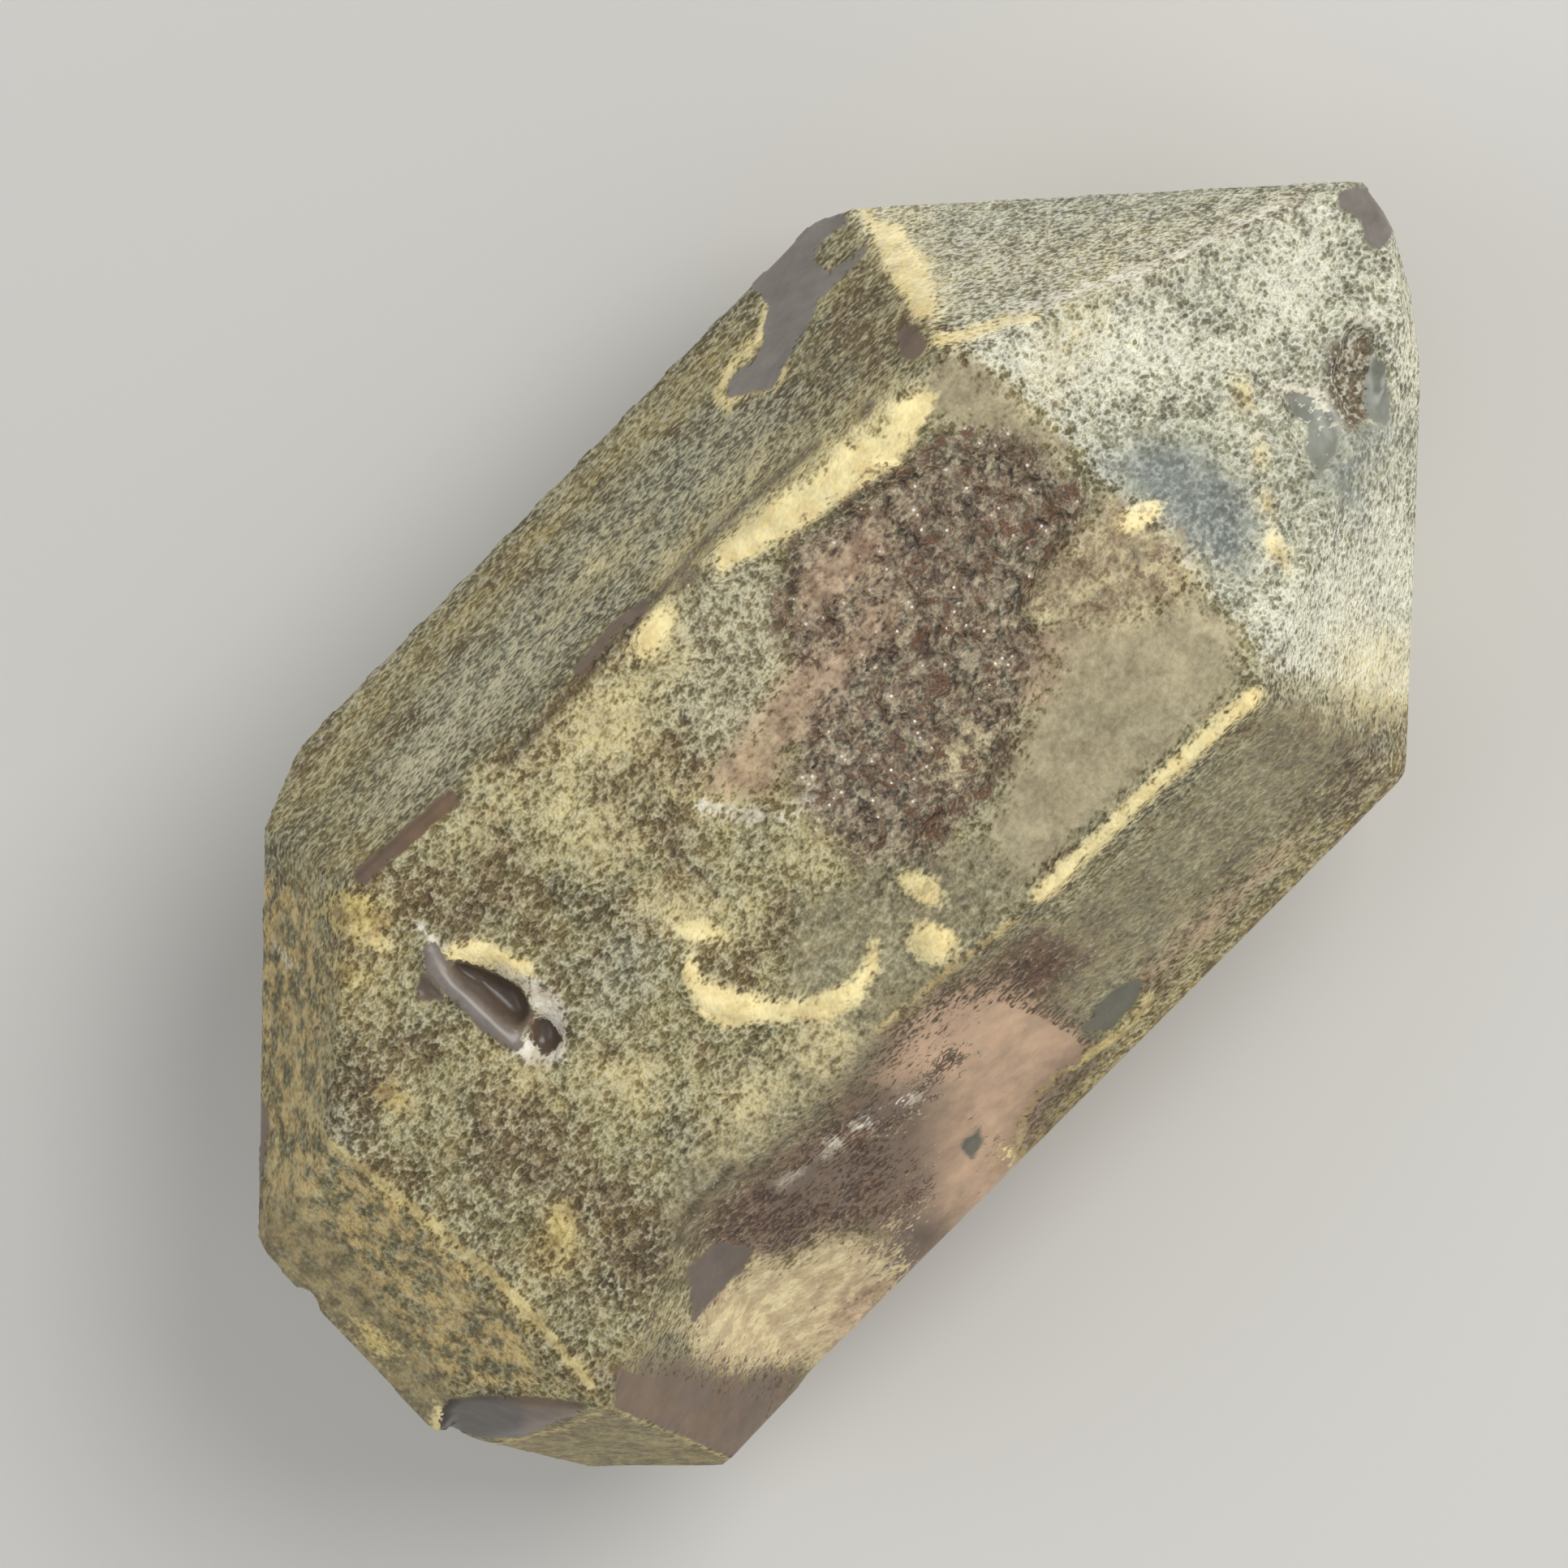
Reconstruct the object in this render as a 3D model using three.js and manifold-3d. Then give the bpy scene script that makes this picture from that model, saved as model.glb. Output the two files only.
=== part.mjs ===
// A smoky quartz crystal with a point at both ends, lying on one of its prism faces.
// Sizes are millimetres. X runs along the growth axis towards the main point, and Z is up.
// The faces are placed round the middle of the growth axis, and the finished crystal is then moved so
// that the middle of its underside is the origin.

import * as THREE from 'three';
import { mergeVertices } from 'three/addons/utils/BufferGeometryUtils.js';
import Module from 'manifold-3d';

const wasm = await Module();
wasm.setup();

// The block that the faces are cut from is larger than the crystal every way.
const blockLength = 80;
const blockWidth = 60;
const blockHeight = 60;
const slabSize = 200;

// A quartz point's faces tip this far from the prism faces towards the point, in degrees.
const pointLean = 38.2;

// A face is given by its bearing round the growth axis (turn: 0 is +Y, 90 is up), by how far it tips
// towards the main point (lean), both in degrees, and by its distance from the middle (reach).
const topFace = { turn: 90, lean: 0, reach: 9.8 };
const leftFace = { turn: 30, lean: 3.2, reach: 12.3 };
const rightFace = { turn: 150, lean: -2.7, reach: 11.15 };
const undersides = [
  { turn: -30, lean: -3.2, reach: 11.7 },
  { turn: -90, lean: 0, reach: 9.8 },
  { turn: -150, lean: 2.8, reach: 12.8 },
];

const broadPointFace = { turn: 94, lean: pointLean, reach: 18.4 };
const mainPointFaces = [
  broadPointFace,
  { turn: 30, lean: pointLean, reach: 19.6 },
  { turn: -30, lean: pointLean, reach: 19.7 },
  { turn: -90, lean: pointLean, reach: 18.8 },
  { turn: -150, lean: pointLean, reach: 19.8 },
  { turn: 150, lean: pointLean, reach: 19.6 },
];
const tipChips = [
  { turn: 143.5, lean: 70.5, reach: 28.0 },
  { turn: 172, lean: 55.6, reach: 24.65 },
];

const lowPointFaces = [
  { turn: 90, lean: -pointLean, reach: 17.9 },
  { turn: 40.5, lean: -33, reach: 16.55 },
  { turn: -30, lean: -41.5, reach: 14.55 },
  { turn: -90, lean: -pointLean, reach: 18.5 },
  { turn: -150, lean: -pointLean, reach: 21.0 },
  { turn: 153.7, lean: -41.8, reach: 20.4 },
];
const brokenBase = [
  { turn: -76, lean: -78, reach: 20.4 },
  { turn: 180, lean: -60.3, reach: 24.1 },
];

// A dark break takes the corner off between the upper low faces, and stops at an upright wall.
const darkBreak = { turn: 127.7, lean: -50.4, reach: 21.3 };
const darkBreakWall = { turn: 0, lean: -23, reach: 2.9 };

// The low end grew a second, wider step on the right. Its own side face meets the main one in a
// re-entrant corner, and its outer edge is worn flush with the widest line of the crystal.
const stepFaces = [
  { turn: 156, lean: 20, reach: 6.17 },
  { turn: 180, lean: 0, reach: 13.9 },
];

// Places on the faces are [x, y], as seen from above.
const broadHollow = {
  face: topFace,
  outline: [
    [9.5, 6.3], [13.6, 5.7], [16.2, 3.8], [16.6, 0.4], [13.2, -0.4], [12.6, -2.2],
    [8.1, -3.7], [4.4, -3.6], [2.6, -1.6], [1.8, 2.6], [4.8, 3.5], [6.9, 5.0],
  ],
  depth: 0.35,
  slope: 0.4,
};
const pits = [
  {
    face: topFace,
    outline: [[-9.5, 5.1], [-8.9, 4.6], [-8.1, 2.7], [-8.4, 1.8], [-9.4, 1.7]],
    depth: 0.9,
    slope: 0.2,
  },
  {
    face: topFace,
    outline: [[-8.6, 1.8], [-8.0, 1.3], [-8.3, 0.4], [-9.2, 0.3], [-9.5, 1.0]],
    depth: 0.6,
    slope: 0.2,
  },
  {
    face: topFace,
    outline: [[-10.2, 5.5], [-10.9, 4.9], [-10.2, 4.0]],
    depth: 0.4,
    slope: 0.1,
  },
];
const pointScar = {
  face: broadPointFace,
  outline: [[26.5, -1.6], [27.2, -2.2], [26.9, -3.3], [25.1, -5.3], [24.4, -5.0], [24.5, -3.8], [25.1, -2.4]],
  depth: 0.7,
  slope: 0.25,
};
const pointLedge = {
  face: broadPointFace,
  outline: [[23.9, -1.3], [24.5, -2.7], [23.8, -4.2], [22.9, -4.6], [22.4, -3.6]],
  depth: 0.25,
  slope: 0.15,
};
const baseNotch = { x: -23.0, y: 0.4, z: 5.4, size: 1.5 };

// Raised forms: a ridge follows points on a face, and a lump is a low mound.
const edgeBand = {
  face: topFace,
  points: [[15.2, 6.1], [13.7, 6.3], [11.7, 6.7], [9.6, 7.2], [6.3, 7.9]],
  width: 1.2,
  height: 0.3,
};
const edgeSeam = {
  face: topFace,
  points: [[16.2, -8.0], [12.5, -7.7], [10.2, -7.6], [6.2, -7.5]],
  width: 0.7,
  height: 0.25,
};
const curvedStreak = {
  face: topFace,
  points: [[1.0, -5.4], [-0.6, -5.25], [-2.3, -4.3], [-3.5, -3.2], [-4.1, -1.3]],
  width: 0.6,
  height: 0.25,
};
const crustRim = {
  face: rightFace,
  points: [[-3.2, -13.6], [-1.1, -12.8], [0.4, -12.6], [2.1, -12.8], [3.7, -13.0], [5.1, -12.8]],
  width: 0.5,
  height: 0.2,
};
const pitRod = {
  face: topFace,
  points: [[-9.5, 5.9], [-9.85, 4.8], [-9.8, 3.2], [-9.8, 1.4]],
  width: 0.65,
  height: 0.18,
};
const pitRim = {
  face: topFace,
  points: [[-8.7, 5.3], [-7.8, 3.9], [-7.4, 2.3], [-7.7, 0.6], [-8.9, -0.1]],
  width: 0.7,
  height: 0.2,
};
const lumps = [
  { face: topFace, x: -4.0, y: -1.5, length: 1.6, width: 1.1, height: 0.35, turn: 60 },
  { face: topFace, x: 3.7, y: -4.6, length: 1.7, width: 0.9, height: 0.35, turn: -70 },
  { face: topFace, x: 2.8, y: -6.2, length: 1.5, width: 1.0, height: 0.35, turn: -60 },
  { face: topFace, x: 3.3, y: 7.4, length: 1.9, width: 1.4, height: 0.35, turn: 20 },
  { face: broadPointFace, x: 26.8, y: -1.2, length: 1.3, width: 0.9, height: 0.35, turn: 0 },
  { face: broadPointFace, x: 22.9, y: -0.3, length: 1.3, width: 0.7, height: 0.3, turn: 120 },
  { face: broadPointFace, x: 21.4, y: -3.3, length: 1.1, width: 0.7, height: 0.3, turn: 100 },
];

// Druse is a patch of small crystals that stand up from a face.
const druses = [
  { face: topFace, x: 10.2, y: 1.5, length: 11.5, width: 6.6, sunk: 0.3, count: 46, size: 0.95 },
  { face: topFace, x: 15.0, y: -1.7, length: 4.2, width: 2.6, sunk: 0, count: 12, size: 0.8 },
  { face: rightFace, x: -8.4, y: -9.6, length: 7.0, width: 2.4, sunk: 0, count: 14, size: 0.7 },
];

const goldenTurn = Math.PI * (3 - Math.sqrt(5));
const xAxis = new THREE.Vector3(1, 0, 0);
const zAxis = new THREE.Vector3(0, 0, 1);

function normalOf(face) {
  const turn = THREE.MathUtils.degToRad(face.turn);
  const lean = THREE.MathUtils.degToRad(face.lean);
  const side = Math.cos(lean);
  return new THREE.Vector3(Math.sin(lean), side * Math.cos(turn), side * Math.sin(turn));
}

// The point of a face that lies above or below a place in plan.
function pointOn(face, x, y) {
  const normal = normalOf(face);
  const z = (face.reach - normal.x * x - normal.y * y) / normal.z;
  return new THREE.Vector3(x, y, z);
}

// A frame on a face: its Z is the outward normal and its X runs as near +X as the face lets it.
function frameOn(face, x, y) {
  const normal = normalOf(face);
  const along = xAxis.clone().addScaledVector(normal, -normal.x).normalize();
  const across = normal.clone().cross(along);
  return new THREE.Matrix4().makeBasis(along, across, normal).setPosition(pointOn(face, x, y));
}

// Places in plan, carried up to the face and given in its frame.
function pointsInFrame(face, frame, places) {
  const intoFrame = frame.clone().invert();
  return places.map(([x, y]) => pointOn(face, x, y).applyMatrix4(intoFrame));
}

function solidFrom(geometry) {
  const bare = geometry.clone();
  bare.deleteAttribute('normal');
  bare.deleteAttribute('uv');
  const merged = mergeVertices(bare, 1e-5);
  const vertProperties = new Float32Array(merged.attributes.position.array);
  const triVerts = new Uint32Array(merged.index.array);
  return new wasm.Manifold(new wasm.Mesh({ numProp: 3, vertProperties, triVerts }));
}

function geometryFrom(solid) {
  const mesh = solid.getMesh();
  const geometry = new THREE.BufferGeometry();
  geometry.setAttribute('position', new THREE.BufferAttribute(new Float32Array(mesh.vertProperties), 3));
  geometry.setIndex(new THREE.BufferAttribute(new Uint32Array(mesh.triVerts), 1));
  return geometry;
}

// All that lies outside a face.
function slabBeyond(face) {
  const slab = new THREE.BoxGeometry(slabSize, slabSize, slabSize);
  slab.translate(0, 0, slabSize / 2 + face.reach);
  slab.applyQuaternion(new THREE.Quaternion().setFromUnitVectors(zAxis, normalOf(face)));
  return solidFrom(slab);
}

function crystalWithin(faces) {
  const block = solidFrom(new THREE.BoxGeometry(blockLength, blockWidth, blockHeight));
  return cut(block, faces.map(slabBeyond));
}

// A hollow with sloping walls and a flat floor.
function pocketCutter({ face, outline, depth, slope }) {
  const frame = frameOn(face, ...outline[0]);
  const corners = pointsInFrame(face, frame, outline).map((point) => new THREE.Vector2(point.x, point.y));
  const cutter = new THREE.ExtrudeGeometry(new THREE.Shape(corners), {
    depth: 2 * depth,
    bevelThickness: depth,
    bevelSize: slope,
    bevelOffset: -slope,
    bevelSegments: 1,
  });
  return solidFrom(cutter.applyMatrix4(frame));
}

function baseNotchCutter() {
  const notch = new THREE.DodecahedronGeometry(baseNotch.size);
  return solidFrom(notch.translate(baseNotch.x, baseNotch.y, baseNotch.z));
}

// A low ridge of six-sided section, half of it above its face.
function ridge({ face, points, width, height }) {
  const frame = frameOn(face, ...points[0]);
  const path = new THREE.CatmullRomCurve3(pointsInFrame(face, frame, points));
  const section = new THREE.Shape([
    new THREE.Vector2(height, width / 4),
    new THREE.Vector2(0, width / 2),
    new THREE.Vector2(-height, width / 4),
    new THREE.Vector2(-height, -width / 4),
    new THREE.Vector2(0, -width / 2),
    new THREE.Vector2(height, -width / 4),
  ]);
  const steps = 3 * points.length;
  const body = new THREE.ExtrudeGeometry(section, { steps, bevelEnabled: false, extrudePath: path });
  return solidFrom(body.applyMatrix4(frame));
}

function lump({ face, x, y, length, width, height, turn }) {
  const mound = new THREE.IcosahedronGeometry(1, 1);
  mound.scale(length / 2, width / 2, height);
  mound.rotateZ(THREE.MathUtils.degToRad(turn));
  return solidFrom(mound.applyMatrix4(frameOn(face, x, y)));
}

// Small crystals spread evenly over an oval, each turned and sized a little differently.
function druse({ face, x, y, length, width, sunk, count, size }) {
  const frame = frameOn(face, x, y);
  const grains = [];
  for (let i = 0; i < count; i += 1) {
    const outward = Math.sqrt((i + 0.5) / count);
    const bearing = i * goldenTurn;
    const grainSize = size * (0.65 + 0.35 * Math.sin(7 * i));
    const grain = new THREE.IcosahedronGeometry(grainSize / 2, 0);
    grain.rotateX(bearing).rotateY(2 * bearing).scale(1, 1, 0.7);
    grain.translate(
      (outward * Math.cos(bearing) * length) / 2,
      (outward * Math.sin(bearing) * width) / 2,
      -sunk,
    );
    grains.push(solidFrom(grain.applyMatrix4(frame)));
  }
  return grains;
}

function joined(crystal, additions) {
  return additions.reduce((whole, addition) => whole.add(addition), crystal);
}

function cut(crystal, cutters) {
  return cutters.reduce((rest, cutter) => rest.subtract(cutter), crystal);
}

function quartzCrystal() {
  const sides = [topFace, leftFace, ...undersides];
  const shared = [...sides, ...mainPointFaces, ...tipChips, ...lowPointFaces, ...brokenBase];
  const mainGrowth = crystalWithin([...shared, rightFace]);
  const secondGrowth = crystalWithin([...shared, ...stepFaces]);

  const darkBreakCutter = slabBeyond(darkBreak).subtract(slabBeyond(darkBreakWall));
  const pockets = [broadHollow, ...pits, pointScar, pointLedge].map(pocketCutter);
  const hollowed = cut(mainGrowth.add(secondGrowth), [darkBreakCutter, baseNotchCutter(), ...pockets]);

  const ridges = [edgeBand, edgeSeam, curvedStreak, crustRim, pitRod, pitRim].map(ridge);
  return joined(hollowed, [...ridges, ...lumps.map(lump), ...druses.flatMap(druse)]);
}

// Rests the crystal on the origin, by the middle of its underside.
function restOnOrigin(geometry) {
  geometry.computeBoundingBox();
  const middle = geometry.boundingBox.getCenter(new THREE.Vector3());
  return geometry.translate(-middle.x, -middle.y, -geometry.boundingBox.min.z);
}

const smokyQuartz = new THREE.MeshStandardMaterial({ color: 0x8a8055, roughness: 0.45, metalness: 0 });
const crystal = new THREE.Mesh(restOnOrigin(geometryFrom(quartzCrystal())), smokyQuartz);
crystal.name = 'quartz_crystal';

const specimen = new THREE.Group();
specimen.add(crystal);

export default specimen;
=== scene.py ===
import math

import bpy
import numpy as np
from mathutils import Matrix, Vector


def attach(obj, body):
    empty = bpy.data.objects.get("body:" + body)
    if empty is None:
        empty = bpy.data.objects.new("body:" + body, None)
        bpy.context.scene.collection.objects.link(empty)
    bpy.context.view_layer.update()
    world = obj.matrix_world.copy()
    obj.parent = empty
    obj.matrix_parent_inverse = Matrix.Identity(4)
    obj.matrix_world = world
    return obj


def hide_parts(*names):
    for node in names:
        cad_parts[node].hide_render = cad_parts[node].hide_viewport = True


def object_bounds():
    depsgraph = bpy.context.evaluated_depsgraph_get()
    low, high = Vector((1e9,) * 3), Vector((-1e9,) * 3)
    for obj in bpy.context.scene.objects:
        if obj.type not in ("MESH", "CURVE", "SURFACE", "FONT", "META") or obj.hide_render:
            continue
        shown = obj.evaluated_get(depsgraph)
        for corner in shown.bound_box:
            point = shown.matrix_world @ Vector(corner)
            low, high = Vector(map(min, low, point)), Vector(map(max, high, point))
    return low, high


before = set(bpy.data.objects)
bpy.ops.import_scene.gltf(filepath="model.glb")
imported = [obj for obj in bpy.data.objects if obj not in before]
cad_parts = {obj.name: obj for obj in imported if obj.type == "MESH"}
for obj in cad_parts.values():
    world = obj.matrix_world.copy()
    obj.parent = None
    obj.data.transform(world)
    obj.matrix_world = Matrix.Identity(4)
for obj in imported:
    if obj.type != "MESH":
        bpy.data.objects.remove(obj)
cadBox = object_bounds()
mm = 0.001

# Places on the crystal are in millimetres. Their x is counted along the growth axis from the middle of
# the prism, y to the left of the axis and z up from the table.
tipReach = 30.14
axisShift = tipReach - cadBox[1].x / mm

cameraLook = {
    "target": (1.39, 1.12, 9.8),
    "distance": 450,
    "tilt": 10,  # from straight above, towards the main point
    "roll": 45.5,
    "lens": 301.9,
}
tableLook = {"colour": (0.86, 0.85, 0.83), "roughness": 0.75, "size": 3.0}
lightLook = {
    "dome": {"colour": (0.93, 0.96, 1.0), "strength": 0.42},
    "key": {"place": (0.30, -0.02, 0.34), "size": 0.30, "power": 1.15, "colour": (1.0, 0.985, 0.95)},
    "fill": {"place": (-0.28, 0.22, 0.34), "size": 0.40, "power": 0.35, "colour": (0.95, 0.98, 1.0)},
    "low": {"place": (0.02, -0.38, 0.16), "size": 0.30, "power": 0.3, "colour": (1.0, 0.97, 0.93)},
}


def framePoint(place):
    return Vector((place[0] - axisShift, place[1], place[2])) * mm


def makeCamera():
    tilt = math.radians(cameraLook["tilt"])
    roll = math.radians(cameraLook["roll"])
    back = Vector((math.sin(tilt), 0, math.cos(tilt)))
    along = Vector((math.cos(tilt), 0, -math.sin(tilt)))
    across = Vector((0, 1, 0))
    right = along * math.cos(roll) - across * math.sin(roll)
    up = along * math.sin(roll) + across * math.cos(roll)
    bpy.ops.object.camera_add()
    camera = bpy.context.object
    camera.name = "camera"
    turn = Matrix((right, up, back)).transposed().to_4x4()
    place = framePoint(cameraLook["target"]) + back * cameraLook["distance"] * mm
    camera.matrix_world = Matrix.Translation(place) @ turn
    camera.data.lens = cameraLook["lens"]
    camera.data.sensor_width = 36
    camera.data.clip_start = 0.01
    bpy.context.scene.camera = camera


def makeLight(name):
    look = lightLook[name]
    bpy.ops.object.light_add(type="AREA", location=look["place"])
    light = bpy.context.object
    light.name = name + "Light"
    light.data.shape = "DISK"
    light.data.size = look["size"]
    light.data.energy = look["power"]
    light.data.color = look["colour"]
    aim = Vector((0, 0, 0.01)) - Vector(look["place"])
    light.rotation_euler = aim.to_track_quat("-Z", "Y").to_euler()


def makeDome():
    world = bpy.data.worlds.new("softDome")
    world.use_nodes = True
    background = world.node_tree.nodes["Background"]
    background.inputs["Color"].default_value = (*lightLook["dome"]["colour"], 1)
    background.inputs["Strength"].default_value = lightLook["dome"]["strength"]
    bpy.context.scene.world = world


# A wire wraps a socket, and sums and products on it add Math nodes.
class Wire:
    def __init__(self, nodes, socket):
        self.nodes = nodes
        self.socket = socket

    def maths(self, operation, *others):
        values = {0: self}
        for place, other in enumerate(others):
            values[place + 1] = other
        return self.nodes.add("ShaderNodeMath", {"operation": operation}, values)

    def __add__(self, other):
        return self.maths("ADD", other)

    def __radd__(self, other):
        return self.maths("ADD", other)

    def __sub__(self, other):
        return self.maths("SUBTRACT", other)

    def __rsub__(self, other):
        return self.nodes.add("ShaderNodeMath", {"operation": "SUBTRACT"}, {0: other, 1: self})

    def __mul__(self, other):
        return self.maths("MULTIPLY", other)

    def __rmul__(self, other):
        return self.maths("MULTIPLY", other)

    def __truediv__(self, other):
        return self.maths("DIVIDE", other)

    def timesPlus(self, factor, more):
        return self.maths("MULTIPLY_ADD", factor, more)

    def higher(self, other):
        return self.maths("MAXIMUM", other)

    def lower(self, other):
        return self.maths("MINIMUM", other)

    def rising(self, low, high):  # 0 below low, 1 above high, smooth between
        return self.nodes.add(
            "ShaderNodeMapRange",
            {"interpolation_type": "SMOOTHSTEP"},
            {"Value": self, "From Min": low, "From Max": high},
        )


class Nodes:
    def __init__(self, material):
        material.use_nodes = True
        self.tree = material.node_tree
        self.tree.nodes.clear()

    def add(self, kind, settings=None, values=None, output=0):
        node = self.tree.nodes.new(kind)
        for name, value in (settings or {}).items():
            setattr(node, name, value)
        for name, value in (values or {}).items():
            if isinstance(value, Wire):
                self.tree.links.new(value.socket, node.inputs[name])
            else:
                node.inputs[name].default_value = value
        return Wire(self, node.outputs[output]) if len(node.outputs) else node

    def mix(self, share, first, second):  # colours
        settings = {"data_type": "RGBA", "clamp_factor": True}
        return self.add("ShaderNodeMix", settings, {0: share, 6: first, 7: second}, output=2)

    def blend(self, share, first, second):  # numbers
        settings = {"data_type": "FLOAT", "clamp_factor": True}
        return self.add("ShaderNodeMix", settings, {0: share, 2: first, 3: second})

    def area(self, name):
        return self.add("ShaderNodeAttribute", {"attribute_name": name}, output=2)

    def noise(self, place, scale, detail, roughness=0.55):
        values = {"Vector": place, "Scale": scale, "Detail": detail, "Roughness": roughness}
        return self.add("ShaderNodeTexNoise", None, values)

    def parts(self, colour):
        split = self.add("ShaderNodeSeparateColor", None, {"Color": colour}).socket.node
        return [Wire(self, socket) for socket in split.outputs]

    def noises(self, place, scale, detail, roughness):  # three unlike patterns
        values = {"Vector": place, "Scale": scale, "Detail": detail, "Roughness": roughness}
        return self.parts(self.add("ShaderNodeTexNoise", None, values, output=1))

    def cells(self, place, scale):  # the distance to the cell's middle, and a number drawn for each cell
        middle = self.add("ShaderNodeTexVoronoi", None, {"Vector": place, "Scale": scale})
        return middle, self.parts(Wire(self, middle.socket.node.outputs["Color"]))[0]

    def product(self, first, second):
        return self.add("ShaderNodeVectorMath", {"operation": "MULTIPLY"}, {0: first, 1: second})

    def tinted(self, colour, share):
        return self.add("ShaderNodeVectorMath", {"operation": "SCALE"}, {0: colour, "Scale": share})


def srgb(red, green, blue):
    def linear(value):
        return value / 12.92 if value <= 0.04045 else ((value + 0.055) / 1.055) ** 2.4

    return (linear(red), linear(green), linear(blue), 1.0)


crystalLook = {
    "voxel": 0.235,  # mm, of the fine mesh
    "quickVoxel": 0.4,
    "smoothing": 1,
    "inset": 0.02,  # mm, so that the skin stays inside the solid's box
    "druse": {"size": 0.7, "height": 0.22, "fade": 0.6, "intensity": 1.6},  # the first three in mm
    "beltHeight": 7.6,  # mm above the table, where the upper side's areas end and the underside's begin
    "beltFade": 0.45,  # how fast they give way to each other
    "upperReach": 1.2,  # how far the upper areas reach past the belt, in the areas' own depth
    "underGap": 0.3,  # how far the underside's areas stay from it
}

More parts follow.
